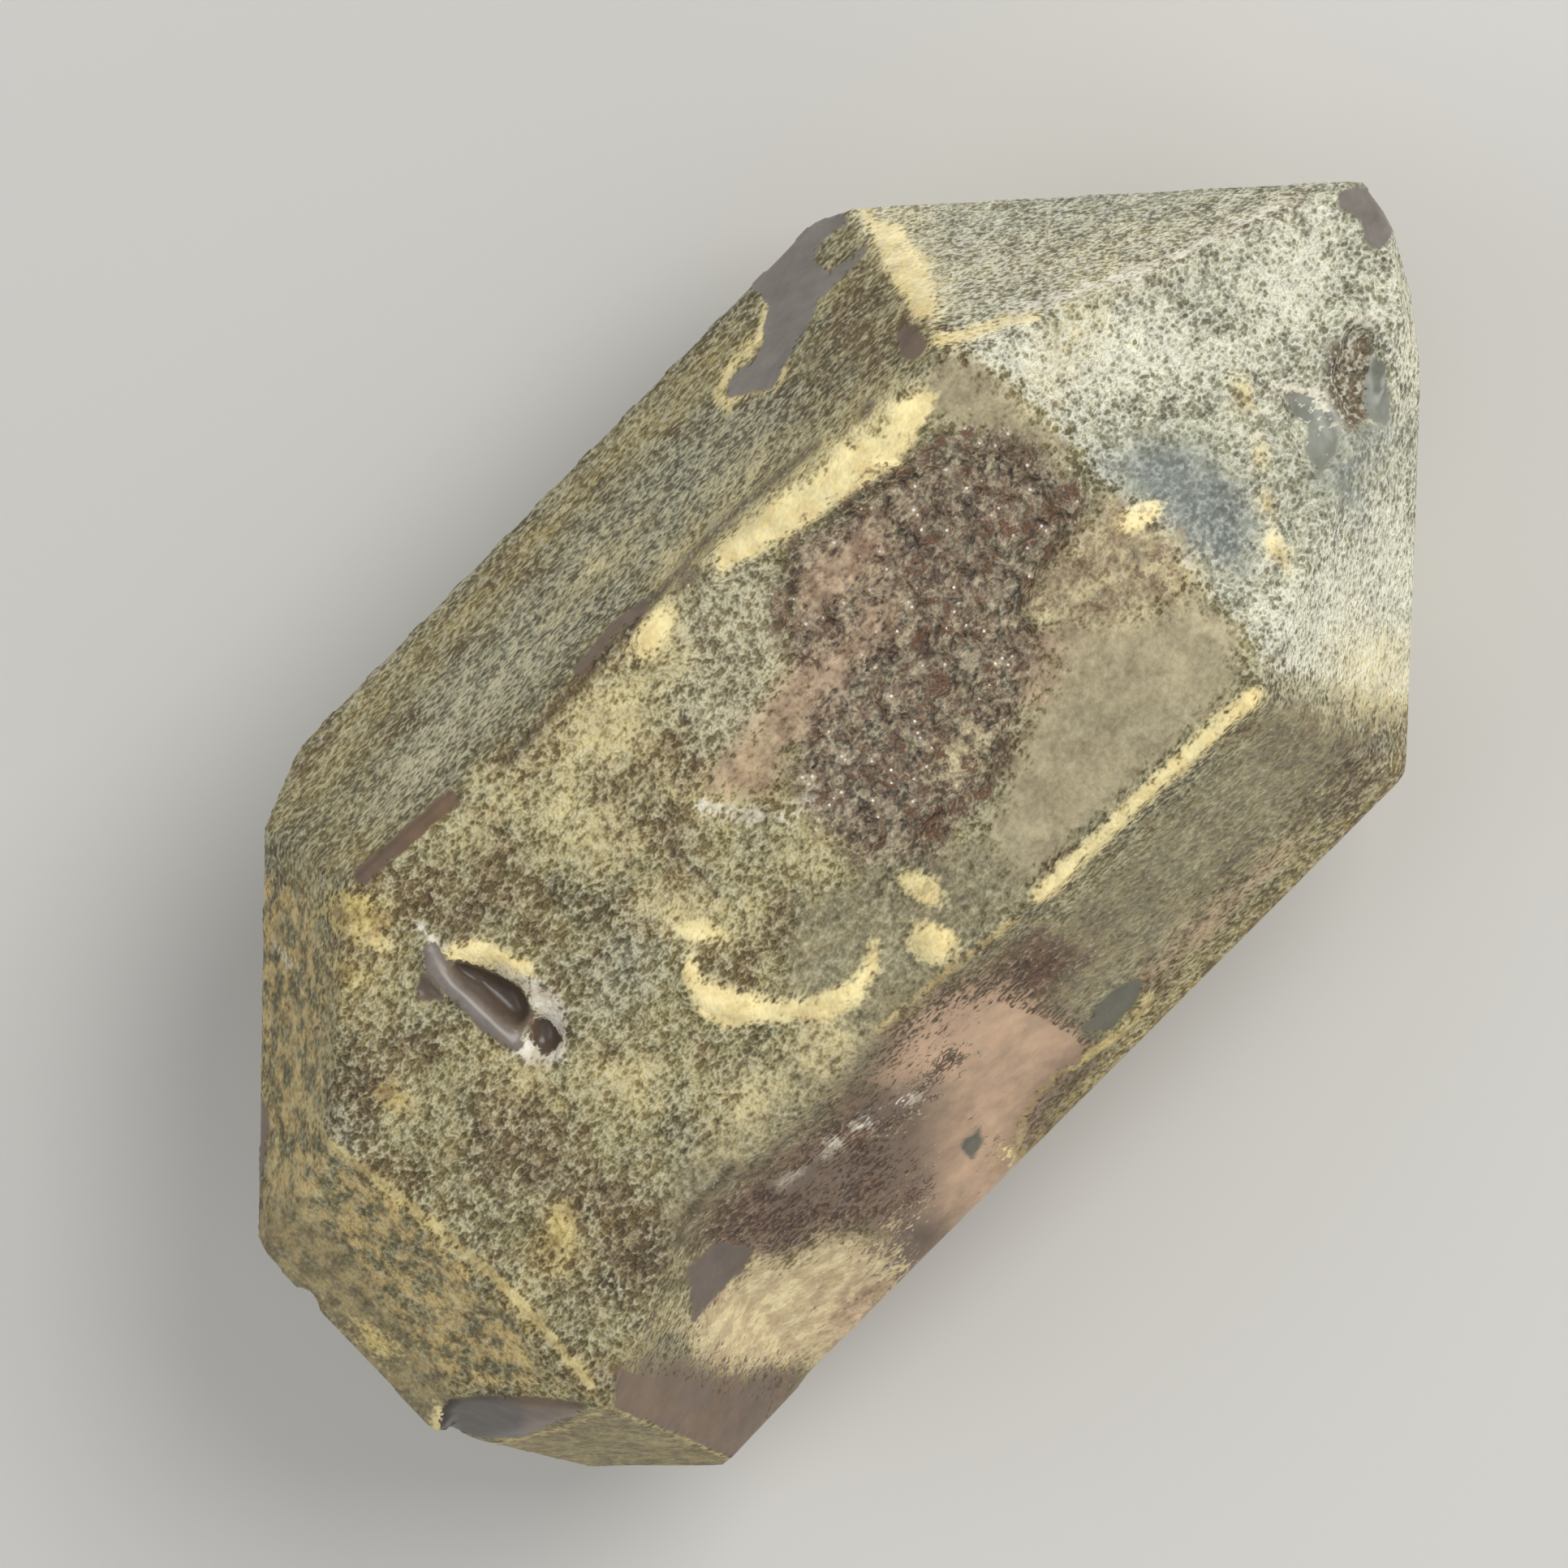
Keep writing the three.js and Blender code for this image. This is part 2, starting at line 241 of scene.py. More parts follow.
# Where each look lies, in plan: outlines, lines with a width, and spots with a length, a width and a
# bearing. They are on the upper side, on the underside where "under" is set, or reach down to the height
# in "above".
skinAreas = {
    "clear": [
        {"outline": [(1.6, -8.9), (2.4, -9.0), (2.6, -11.0), (2.5, -12.1), (2.3, -12.6), (1.7, -12.8), (1.0, -12.4),
                     (-0.2, -12.5), (-1.2, -12.7), (-2.1, -13.3), (-2.8, -14.2), (-3.9, -15), (-6.0, -15),
                     (-3.0, -12.4), (0, -10.4)]},
        {"outline": [(12.1, 15), (17.4, 15), (16.8, 12.9), (15.7, 13.2), (15.1, 12.9), (15.4, 12.2), (17.0, 11.9),
                     (16.3, 11.7), (14.6, 11.8), (13.5, 11.3), (12.2, 11.0), (11.7, 10.7), (10.8, 11.2), (10.1, 11.7),
                     (10.5, 12.1), (11.6, 11.9), (12.2, 12.2), (12.9, 12.9), (12.9, 13.4)], "above": 6.6},
        {"outline": [(16.2, 8.9), (16.6, 9.0), (17.0, 8.7), (16.9, 7.9), (16.3, 7.9), (16.0, 8.3)]},
        {"outline": [(29.3, 1.8), (30.2, 1.2), (30.4, -0.4), (28.9, -0.6), (28.7, -0.2), (29.1, 0.6), (29.0, 1.5)]},
        {"outline": [(26.2, -2.9), (26.5, -3.4), (25.1, -5.0), (24.8, -4.5), (25.1, -3.8)]},
        {"outline": [(23.7, -1.6), (24.0, -2.1), (24.3, -2.7), (24.3, -3.6), (23.7, -4.1), (22.6, -4.5), (22.8, -3.6),
                     (23.4, -3.0), (23.4, -2.3)]},
        {"line": [(-5.2, 8.7), (-7.0, 8.9), (-9.2, 9.1)], "width": 0.55},
        {"line": [(4.0, 8.7), (2.6, 8.85), (0.9, 8.7)], "width": 0.34},
        {"outline": [(-11.4, -8.0), (-10.1, -8.1), (-9.8, -9.2), (-10.7, -9.5), (-11.8, -9.4), (-12.9, -9.5),
                     (-12.3, -8.9)]},
        {"outline": [(-15.0, -8.4), (-15.1, -9.3), (-14.7, -10.4), (-14.8, -11.8), (-14.5, -13.2), (-14.2, -15),
                     (-17.5, -15), (-16.7, -13.6), (-16.5, -11.6), (-16.3, -9.6)], "above": 8.6},
        {"outline": [(2.9, -12.1), (3.7, -11.8), (4.9, -11.8), (5.5, -12.1), (5.4, -12.4), (4.6, -12.7),
                     (3.4, -12.7)]},
        {"outline": [(-20.9, -5.3), (-19.6, -6.2), (-17.5, -8.0), (-16.6, -9.0), (-20.8, -8.1), (-22.6, -6.9),
                     (-22.1, -6.0)], "above": 13.6},
        {"outline": [(-18.2, 6.6), (-18.3, 5.7), (-19.5, 4.9), (-21.2, 3.7), (-22.7, 2.5), (-24, 5), (-19.5, 9)]},
        {"line": [(-9.35, 5.6), (-9.75, 5.0), (-9.75, 2.2), (-9.6, 1.5)], "width": 0.62},
        {"outline": [(-9.3, 5.2), (-8.8, 4.5), (-8.3, 3.4), (-8.3, 2.4), (-8.5, 1.6), (-9.2, 1.6), (-9.6, 2.3),
                     (-9.6, 4.4)]},
        {"outline": [(-8.6, 1.6), (-8.3, 1.2), (-8.4, 0.4), (-9.0, 0.3), (-9.3, 0.6), (-9.3, 1.1), (-8.9, 1.5)]},
        {"outline": [(-10.2, 5.4), (-10.2, 4.1), (-10.9, 4.9)]},
    ],
    "haze": [
        {"outline": [(-3.9, -8.3), (-1.6, -7.7), (0.0, -7.5), (1.9, -7.8), (2.9, -8.7), (2.6, -12.4), (-1.4, -12.9),
                     (-3.4, -15), (-9.4, -15), (-7.8, -12.4), (-6.0, -10.8), (-4.8, -10.2), (-4.3, -9.4)]},
        {"spot": (-6.6, -9.2), "size": (3.4, 1.6), "turn": 0},
        {"outline": [(-14.9, -9.0), (-14.2, -10.0), (-13.9, -11.6), (-13.4, -13.4), (-13.0, -15), (-15.4, -15),
                     (-15.4, -11)]},
        {"spot": (11.2, 11.4), "size": (5.6, 3.0), "turn": 10, "under": True},
        {"spot": (-7.6, -11.6), "size": (6.4, 3.4), "turn": -12, "under": True},
        {"spot": (20.8, -1.8), "size": (5.0, 3.4), "turn": 70, "under": True},
    ],
    "deepClear": [
        {"outline": [(-20.9, -5.2), (-19.4, -6.3), (-18.9, -7.6), (-21.0, -8.2), (-22.8, -6.9), (-22.2, -5.8)]},
    ],
    "pitClear": [
        {"outline": [(-11.4, -8.0), (-10.1, -8.1), (-9.8, -9.2), (-10.7, -9.5), (-11.8, -9.4), (-12.9, -9.5),
                     (-12.3, -8.9)]},
        {"outline": [(-9.2, 5.1), (-8.9, 4.5), (-8.3, 3.4), (-8.3, 2.4), (-8.5, 1.7), (-9.1, 1.7), (-9.3, 2.3),
                     (-9.4, 4.4)]},
        {"outline": [(-8.6, 1.6), (-8.2, 1.2), (-8.3, 0.4), (-9.0, 0.3), (-9.3, 0.6), (-9.3, 1.1)]},
        {"outline": [(-10.2, 5.4), (-10.2, 4.1), (-10.9, 4.9)]},
    ],
    "paleClear": [
        {"line": [(-9.35, 5.6), (-9.75, 5.0), (-9.75, 2.2), (-9.6, 1.5)], "width": 0.66},
        {"outline": [(11, 16), (18, 16), (17.2, 11.4), (13.5, 10.9), (11.6, 10.3), (9.8, 11.4), (10.4, 12.6)]},
        {"spot": (29.4, 0.4), "size": (2.6, 3.0), "turn": 0},
    ],
    "greyClear": [
        {"outline": [(25.1, -2.9), (26.4, -2.5), (27.0, -3.6), (25.2, -5.6), (24.6, -4.7)]},
        {"outline": [(23.0, -1.2), (24.6, -2.3), (24.9, -3.9), (24.0, -5.0), (22.2, -4.6)]},
    ],
    # where the window shows painted pink light seen through the crystal, not the quartz's own colour
    "paintedPinkSeenThrough": [
        {"outline": [(-1.8, -8.2), (0.4, -7.4), (2.2, -7.6), (3.2, -8.8), (2.8, -12.4), (1.0, -12.4),
                     (-1.2, -12.7), (-2.8, -14.2),
                     (-6.0, -15), (-5.6, -12.6), (-3.6, -11.4), (-2.2, -10.6), (-1.6, -10.0)]},
    ],
    "stain": [
        {"outline": [(-2.9, -11.7), (-2.1, -11.9), (-2.6, -12.4), (-3.3, -12.5), (-3.1, -11.9)]},
        {"outline": [(2.6, -12.3), (2.9, -11.9), (3.7, -11.6), (4.9, -11.6), (5.7, -12.0), (5.6, -12.5), (4.6, -12.9),
                     (2.9, -12.9)]},
        {"outline": [(-9.6, -12.0), (-8.8, -12.6), (-7.9, -13.2), (-8.5, -13.5), (-9.4, -12.9)]},
    ],
    "grime": [
        {"line": [(-4.6, -8.7), (-3.7, -9.2), (-3.1, -9.6), (-2.4, -9.6), (-1.1, -9.4), (-0.2, -9.4)], "width": 0.5},
        {"spot": (-5.6, -12.0), "size": (1.6, 0.7), "turn": 20},
        {"spot": (-2.5, -13.4), "size": (0.9, 0.5), "turn": 70},
        {"spot": (24.2, -2.9), "size": (0.7, 0.5), "turn": 20},
    ],
    "mustard": [
        {"outline": [(-26, 9), (-17.6, 9.5), (-14.8, 9.6), (-16.4, 5.2), (-16.1, 1), (-15.9, -5), (-16.6, -8.9),
                     (-20, -5.3), (-26, -4)]},
        {"spot": (-12.8, 6.6), "size": (3.6, 3.6), "turn": 0},
        {"spot": (-10.5, 7.7), "size": (1.9, 2.6), "turn": 20},
        {"spot": (-13.5, 0.7), "size": (1.7, 1.2), "turn": 0},
        {"spot": (-13.2, -4.4), "size": (3.6, 2.2), "turn": 30},
        {"spot": (-11.0, 1.4), "size": (2.4, 1.2), "turn": 60},
        {"line": [(-10.0, 13.2), (-2.0, 13.0), (6.0, 13.0), (11.4, 13.0)], "width": 1.3},
        {"line": [(-11.5, 10.5), (-8.0, 9.9)], "width": 0.9},
        {"line": [(4.4, 9.6), (7.6, 9.2), (9.0, 9.1)], "width": 0.7},
        {"outline": [(14.8, -13.2), (9.0, -13.0), (5.2, -12.9), (2.4, -12.9), (1.0, -12.5), (-0.2, -12.6),
                     (-1.9, -13.3), (-2.6, -15), (18, -15), (18, -12.8)]},
        {"line": [(21.9, -2.5), (20.6, -3.8), (19.4, -5.0), (18.4, -6.6)], "width": 0.9},
        {"outline": [(-16.4, -9.4), (-16.5, -11.6), (-16.8, -15), (-24, -12), (-22.4, -7.1)]},
        {"outline": [(-26, -12), (-13, -12), (-15, -3), (-13, 5), (-15, 12), (-26, 12)], "under": True},
        {"spot": (2.0, -11.5), "size": (9.0, 4.0), "turn": 10, "under": True},
        {"spot": (3.0, 12.5), "size": (8.0, 3.0), "turn": 0, "under": True},
    ],
    "shade": [
        {"outline": [(-10.6, 0.4), (-12.2, 0.6), (-14.2, -0.4), (-13.4, -2.4), (-12.2, -3.4), (-12.0, -5.0),
                     (-14.4, -6.2), (-13.4, -8.0), (-10.6, -7.6),
                     (-10.4, -4.8), (-11.6, -3.0), (-11.6, -1.4)]},
        {"outline": [(-9.5, -7.2), (-7.7, -7.1), (-6.2, -7.6), (-4.0, -7.9), (-4.2, -9.2), (-4.5, -10.4),
                     (-5.9, -11.2), (-7.6, -10.7), (-8.8, -10.2), (-9.5, -9.4), (-10.1, -8.1)]},
        {"spot": (-13.6, 4.0), "size": (2.4, 1.8), "turn": 0},
        {"outline": [(15.8, -8.9), (17.7, -10.6), (17.9, -13), (16.5, -13.8), (14.1, -13.2), (14.3, -10.7)]},
        {"spot": (5.2, -9.9), "size": (4.6, 2.0), "turn": -6},
        {"spot": (-0.2, 3.0), "size": (3.4, 1.6), "turn": 40},
        {"spot": (-7.4, 5.6), "size": (2.8, 1.2), "turn": 20},
        {"spot": (-14.9, 8.6), "size": (1.8, 1.0), "turn": 60},
        {"spot": (14.6, 10.1), "size": (3.6, 0.9), "turn": 10},
        {"spot": (-9.0, 12.2), "size": (5.0, 1.2), "turn": 0, "under": True},
        {"spot": (8.0, -11.0), "size": (5.0, 2.4), "turn": 0, "under": True},
    ],
    "dusky": [
        {"outline": [(12.5, 10.4), (11.8, 8.8), (4.0, 9.0), (-0.6, 9.4), (-3.5, 9.6), (-6.0, 10.6), (-4.6, 11.8),
                     (1.4, 12.2), (7.4, 12.1), (9.6, 11.4)]},
        {"line": [(-12.0, 14.2), (-2.0, 14.2), (10.0, 14.2), (16.0, 14.2)], "width": 0.9},
        {"spot": (-5.2, 0.6), "size": (3.4, 2.4), "turn": 10},
        {"spot": (25.6, -7.0), "size": (4.0, 2.6), "turn": -30},
        {"spot": (19.6, -7.2), "size": (2.6, 1.8), "turn": 0},
        {"spot": (-16.6, 3.4), "size": (2.0, 1.4), "turn": 0},
        {"line": [(17.2, -7.6), (17.8, -10.4), (17.0, -12.2)], "width": 1.0},
        {"outline": [(-2, -9.6), (6, -9.4), (12, -10.4), (4, -12.4)], "under": True},
    ],
    "blotchy": [
        {"outline": [(-26, 9), (-18.4, 6.6), (-16.9, 4.9), (-16.4, 1.4), (-16.2, -2.5), (-16.4, -5), (-17, -7.6),
                     (-20, -5.3), (-26, -4)]},
        {"outline": [(-12.7, 11.5), (-11.5, 9.4), (-14.7, 5.8), (-16.3, 4.2), (-18.4, 5.0), (-17.1, 7.3),
                     (-14.4, 11.6)]},
        {"outline": [(-26, -12), (-16, -12), (-16, 12), (-26, 12)], "under": True},
    ],
    "waxy": [
        {"outline": [(-19.3, 3.2), (-19.4, 0.6), (-20.0, -2.5), (-20.6, -6.0), (-24, -6.0), (-26, 0), (-22, 4)]},
        {"outline": [(-16.4, -9.2), (-16.5, -11.6), (-16.8, -15), (-24, -12), (-22.4, -7.0)]},
    ],
    "silver": [
        {"outline": [(16.9, 15), (17.3, 10.8), (17.6, 8.2), (18.2, 6.0), (18.0, 0), (17.5, -8.0), (18.6, -12),
                     (19.5, -15), (26, -13), (33, -2), (31, 4), (24, 9), (19.4, 15)]},
        {"outline": [(18, 13), (17, 4), (18, -6), (17, -13), (33, -10), (33, 8)], "under": True},
        {"spot": (-4.0, 12.0), "size": (8.0, 2.0), "turn": 0, "under": True},
    ],
    "bluish": [
        {"outline": [(18.2, 1.2), (19.6, 0.8), (20.7, -0.8), (20.8, -2.8), (20.1, -4.3), (18.8, -4.8), (18.2, -3.8),
                     (18.2, -1.8)]},
        {"line": [(22.9, -5.4), (21.4, -8.0), (20.4, -9.6)], "width": 0.7},
        {"spot": (24.6, -4.8), "size": (2.4, 0.7), "turn": -40},
        {"spot": (23.2, -4.9), "size": (1.8, 1.0), "turn": -30},
    ],
    "frost": [
        {"outline": [(18.8, 6.2), (21.0, 5.0), (23.4, 1.9), (24.3, -0.2), (23.2, -0.6), (21.5, 1.0), (19.4, 2.5),
                     (18.2, 4.1)]},
        {"outline": [(18.4, -6.4), (20.4, -6.5), (23.0, -6.6), (23.4, -8.2), (19.4, -12.4), (17.8, -11.6),
                     (17.3, -10.2), (17.5, -8.4)]},
        {"spot": (26.4, 0.8), "size": (4.0, 2.4), "turn": 20},
        {"spot": (22.0, -9.4), "size": (5.0, 3.0), "turn": -50},
        {"outline": [(18.0, 6.9), (19.0, 6.5), (20.0, 6.0), (19.3, 5.6), (18.2, 5.6)]},
        {"line": [(29.6, -0.9), (28.3, -2.4), (27.4, -3.8), (26.0, -5.2)], "width": 0.9},
    ],
    "gritty": [
        {"outline": [(-8.5, 10.5), (-6.5, 11.2), (-3.6, 11.0), (-0.6, 10.8), (-0.3, 9.9), (-2.7, 9.8), (-5.2, 9.5),
                     (-7.8, 9.8)]},
        {"outline": [(19.0, 10.2), (23.7, 6.0), (28.3, 2.6), (24.0, 3.9), (20.8, 6.2), (18.5, 8.1)]},
        {"outline": [(17.4, 11.6), (24.0, 8.4), (28, 4.6), (30, 6), (22, 16), (17, 16)]},
        {"outline": [(6.0, 8.2), (8.2, 7.0), (7.2, 4.8), (3.9, 2.9), (2.0, 3.7), (2.2, 5.4), (4.3, 7.1)]},
    ],
    "fineOlive": [
        {"outline": [(17.0, -8.5), (4.0, -8.3), (2.8, -9.4), (2.8, -12.2), (6, -12.4), (10, -12.3), (17, -12.3),
                     (18.4, -12)]},
        {"outline": [(4.4, -3.9), (6.6, -4.6), (7.4, -7.3), (-8, -7.6), (-6, -6.2), (-2.5, -5.0), (-1.6, -3.4),
                     (-0.6, -2.2), (1.2, -1.9), (2.8, -2.8)]},
        {"outline": [(-2, -7.4), (-12, -7.6), (-8.6, -5.0), (-4, -5.4)]},
    ],
    "plum": [
        {"outline": [(-11.0, -8.2), (-9.0, -7.0), (-6.4, -7.7), (-2.2, -7.8), (0.2, -7.2), (2.2, -7.6), (3.4, -8.9),
                     (2.6, -12.6), (-1.0, -13.4), (-6.2, -13.4), (-7.4, -11.4), (-9.6, -10.2)]},
        {"outline": [(2.2, -7.8), (5.2, -8.2), (5.4, -10.2), (3.4, -10.4), (2.6, -9.2)]},
    ],
    "tan": [
        {"outline": [(13.2, -0.9), (14.2, -1.9), (16.0, -3.6), (17.4, -3.8), (17.5, -6.0), (16.6, -7.3), (12.2, -7.4),
                     (8.1, -7.1), (6.0, -6.8), (7.0, -4.6), (10.6, -3.3), (12.6, -2.6)]},
        {"outline": [(17.1, 7.4), (17.9, 6.3), (17.9, 4.0), (18.0, 2.4), (17.3, 2.8), (16.2, 4.8), (15.8, 5.8),
                     (14.9, 6.9), (15.8, 7.3)]},
        {"outline": [(13.0, -0.9), (15.2, -0.4), (17.6, 0.2), (18.1, -1.6), (18.0, -3.4), (16.6, -3.8),
                     (14.6, -2.2)]},
    ],
    "hollow": [
        {"outline": [(9.3, 6.7), (12.3, 6.2), (14.6, 5.8), (16.6, 4.6), (17.5, 2.6), (17.2, 0.4), (15.0, -0.1),
                     (13.0, -0.5), (12.6, -2.4), (10.3, -3.0), (8.1, -3.9), (4.6, -4.1), (2.7, -2.4), (3.0, -0.4),
                     (3.4, 1.2), (5.4, 2.6), (6.2, 4.0), (7.2, 5.6)]},
        {"line": [(5.4, 8.2), (6.2, 8.0)], "width": 0.5},
    ],
    "rosy": [
        {"outline": [(7.7, 5.2), (9.4, 5.7), (11.1, 5.4), (12.2, 4.8), (10.5, 3.9), (8.6, 4.3), (7.4, 4.7)]},
        {"outline": [(1.6, 3.3), (3.5, 3.3), (5.1, 3.6), (6.6, 3.3), (9.9, 3.1), (9.0, 2.2), (5.5, 1.9), (3.7, 1.7),
                     (2.4, 1.3), (1.4, 2.3)]},
        {"outline": [(13.0, -1.5), (13.4, -2.2), (11.4, -3.1), (10.7, -2.5)]},
        {"outline": [(12.8, -12.6), (9.4, -12.2), (5.4, -12.2), (8.4, -12.9)]},
        {"outline": [(-12.2, -13.6), (-10.4, -12.6), (-8.8, -12.6), (-8.0, -15), (-12.6, -15)]},
    ],
    "creamy": [
        {"spot": (-2.1, 0.2), "size": (3.4, 1.6), "turn": -55},
        {"spot": (-2.7, 5.9), "size": (2.2, 1.6), "turn": 30},
        {"spot": (-2.7, 4.3), "size": (2.6, 2.4), "turn": 30},
        {"spot": (0.2, 6.6), "size": (4.4, 2.6), "turn": 0},
        {"spot": (-4.6, 7.4), "size": (2.6, 1.2), "turn": 0},
        {"spot": (-7.9, -2.0), "size": (3.0, 2.0), "turn": -60},
        {"spot": (-2.4, -5.9), "size": (2.2, 1.4), "turn": 0},
        {"spot": (-5.2, -5.6), "size": (3.0, 1.6), "turn": 0},
        {"spot": (1.4, -0.6), "size": (2.0, 0.9), "turn": -40},
        {"spot": (0.9, 2.4), "size": (2.2, 0.8), "turn": 120},
        {"spot": (3.4, 6.9), "size": (1.6, 1.6), "turn": 10},
        {"outline": [(17.2, 13.4), (18.0, 12.4), (18.5, 10.7), (18.6, 9.0), (18.2, 7.9), (17.4, 8.9), (17.3, 10.5),
                     (17.1, 11.7)]},
        {"outline": [(-10.6, 1.6), (-9.6, 0.4), (-9.8, -1.2), (-10.9, 0.1)]},
        {"spot": (20.6, 4.9), "size": (3.6, 1.2), "turn": 20},
        {"line": [(15.0, 7.5), (11.5, 7.8), (8.0, 8.3), (5.4, 8.7)], "width": 1.2},
        {"spot": (16.9, -3.2), "size": (1.5, 0.9), "turn": -30},
        {"spot": (18.9, -10.6), "size": (2.4, 3.0), "turn": 0},
        {"spot": (3.0, 10.6), "size": (2.2, 0.7), "turn": 0},
        {"spot": (9.8, 9.3), "size": (2.2, 0.6), "turn": -10},
        {"spot": (14.0, 12.6), "size": (1.2, 0.5), "turn": -30},
        {"spot": (-9.5, -9.8), "size": (5.0, 2.0), "turn": 12, "under": True},
        {"spot": (14.0, 10.0), "size": (4.0, 2.0), "turn": 0, "under": True},
        {"outline": [(-6, -6), (4, -7), (9, -2), (6, 5), (-4, 6), (-8, 1)], "under": True},
        {"spot": (12.0, -9.4), "size": (5.0, 1.2), "turn": 0, "under": True},
    ],
    "smoothCream": [
        {"outline": [(-13.1, -9.5), (-11.8, -9.3), (-10.0, -9.3), (-9.7, -10.4), (-8.1, -10.6), (-7.8, -11.9),
                     (-5.8, -12.6), (-7.5, -15), (-12.7, -15), (-13.6, -12.6), (-14.4, -11.8), (-14.1, -10.4)]},
    ],
    "knobbly": [
        {"spot": (7.9, -2.3), "size": (2.6, 1.5), "turn": 0},
        {"outline": [(15.7, -0.2), (17.6, -0.3), (18.3, -2.4), (17.0, -3.9), (15.1, -3.4), (13.6, -1.8), (12.4, -0.6),
                     (14.2, 0.1)]},
    ],
    "crust": [
        {"outline": [(16.1, 6.5), (14.5, 6.1), (13.6, 5.8), (11.6, 6.3), (9.7, 6.5), (8.4, 7.0), (6.7, 7.6),
                     (7.2, 8.3), (9.4, 8.1), (11.2, 7.6), (12.7, 7.4), (14.0, 7.0), (14.9, 7.4), (15.8, 7.2)]},
        {"spot": (3.7, 7.8), "size": (2.2, 0.9), "turn": 10},
        {"line": [(16.4, -8.0), (14.7, -7.85), (12.5, -7.75), (10.2, -7.7), (8.4, -7.65), (6.6, -7.6)],
         "width": 0.6},
        {"line": [(1.3, -4.9), (0.7, -5.3), (-0.4, -5.4)], "width": 0.44},
        {"line": [(-0.2, -5.4), (-1.3, -5.1), (-2.3, -4.3), (-3.4, -3.2)], "width": 0.8},
        {"outline": [(-3.8, -0.7), (-4.1, -1.4), (-4.5, -2.4), (-4.2, -3.2), (-2.6, -4.4), (-2.7, -3.2), (-3.2, -2.2),
                     (-3.5, -1.4), (-3.3, -0.7)]},
        {"spot": (-2.4, -0.4), "size": (1.6, 0.6), "turn": -55},
        {"spot": (3.9, -4.6), "size": (1.7, 0.9), "turn": -70},
        {"spot": (2.8, -6.1), "size": (1.8, 1.3), "turn": -60},
        {"outline": [(-9.3, 5.6), (-8.4, 5.1), (-7.8, 4.6), (-7.5, 3.7), (-7.2, 2.9), (-7.6, 2.5), (-8.1, 2.9),
                     (-8.3, 3.6), (-8.9, 4.4), (-9.2, 4.8)]},
        {"line": [(13.1, 13.2), (12.9, 12.9), (12.1, 12.3), (11.0, 12.4), (10.4, 12.2), (9.8, 11.9), (10.0, 11.4)],
         "width": 0.4},
        {"line": [(10.1, 11.5), (10.4, 11.4), (11.1, 11.2), (11.8, 10.7), (12.3, 10.9)], "width": 0.24},
        {"spot": (17.9, -1.1), "size": (1.4, 0.7), "turn": -20},
        {"spot": (20.2, -4.9), "size": (0.9, 0.4), "turn": 65},
        {"spot": (-2.5, -13.4), "size": (1.0, 0.6), "turn": 70},
        {"outline": [(-21.3, -5.2), (-21.0, -5.8), (-22.0, -6.6), (-22.6, -5.9)]},
        {"outline": [(17.4, 13.0), (18.1, 11.4), (18.2, 9.8), (17.8, 8.3), (17.1, 8.8), (17.1, 10.5)]},
        {"line": [(17.3, 7.8), (18.2, 7.2), (19.3, 6.7), (20.1, 6.1)], "width": 0.4},
        {"spot": (-10.5, 7.4), "size": (0.7, 1.5), "turn": 20},
    ],
    "thread": [
        {"line": [(-16.8, 4.9), (-16.3, 1.4), (-15.9, -2.5), (-15.9, -5.4), (-16.2, -8.4)], "width": 0.4},
        {"line": [(-18.0, 4.5), (-17.4, 1.1)], "width": 0.14},
        {"line": [(5.1, -12.9), (4.1, -13.1), (3.3, -13.1), (2.4, -12.8), (1.8, -12.8), (1.0, -12.4), (-0.2, -12.5),
                  (-1.0, -12.7), (-1.9, -13.2), (-2.8, -14.0)], "width": 0.34},
        {"line": [(5.4, -7.6), (2.6, -7.2), (-0.6, -6.9)], "width": 0.2},
        {"line": [(-16.3, -9.4), (-18.9, -8.9), (-22.2, -7.4)], "width": 0.16},
        {"line": [(-16.4, -9.6), (-16.6, -12.0), (-16.9, -14.0)], "width": 0.16},
    ],
    "ochre": [
        {"spot": (22.8, -0.6), "size": (1.1, 0.6), "turn": 60},
        {"spot": (21.8, -2.6), "size": (0.6, 0.4), "turn": 60},
        {"spot": (20.9, -3.9), "size": (0.8, 0.4), "turn": 70},
        {"spot": (20.0, -5.4), "size": (0.8, 0.4), "turn": 70},
        {"spot": (-10.4, 8.3), "size": (1.6, 2.4), "turn": 25},
        {"spot": (-11.9, 7.2), "size": (0.9, 1.4), "turn": 25},
        {"spot": (-13.3, -4.1), "size": (2.2, 1.1), "turn": 35},
        {"spot": (-13.9, 3.0), "size": (0.8, 1.6), "turn": 10},
        {"spot": (3.9, -4.6), "size": (0.8, 0.36), "turn": -70},
        {"spot": (-21.2, -2.2), "size": (0.8, 1.6), "turn": 10},
    ],
    "whitish": [
        {"outline": [(-8.1, 2.7), (-7.6, 2.4), (-7.4, 1.7), (-7.7, 0.9), (-8.3, 0.2), (-8.8, -0.1), (-9.4, 0.2),
                     (-9.9, 0.9), (-9.9, 1.5), (-9.4, 1.8), (-9.1, 1.4), (-8.4, 1.7)]},
        {"line": [(-9.1, 6.4), (-9.15, 5.4)], "width": 0.24},
        {"line": [(-8.2, 3.6), (-8.0, 3.1), (-7.9, 2.6)], "width": 0.44},
        {"line": [(19.6, 6.7), (24.0, 4.3), (28.4, 2.6)], "width": 0.2},
        {"outline": [(26.8, -1.3), (27.3, -1.9), (26.9, -2.3), (26.7, -1.6)]},
        {"line": [(23.6, -1.2), (24.0, -1.9), (24.4, -2.7), (24.3, -3.6)], "width": 0.34},
        {"line": [(-7.2, -8.3), (-6.4, -8.5)], "width": 0.46},
        {"line": [(-5.6, -8.7), (-5.0, -8.6)], "width": 0.4},
        {"line": [(-4.0, -8.7), (-3.7, -8.9)], "width": 0.36},
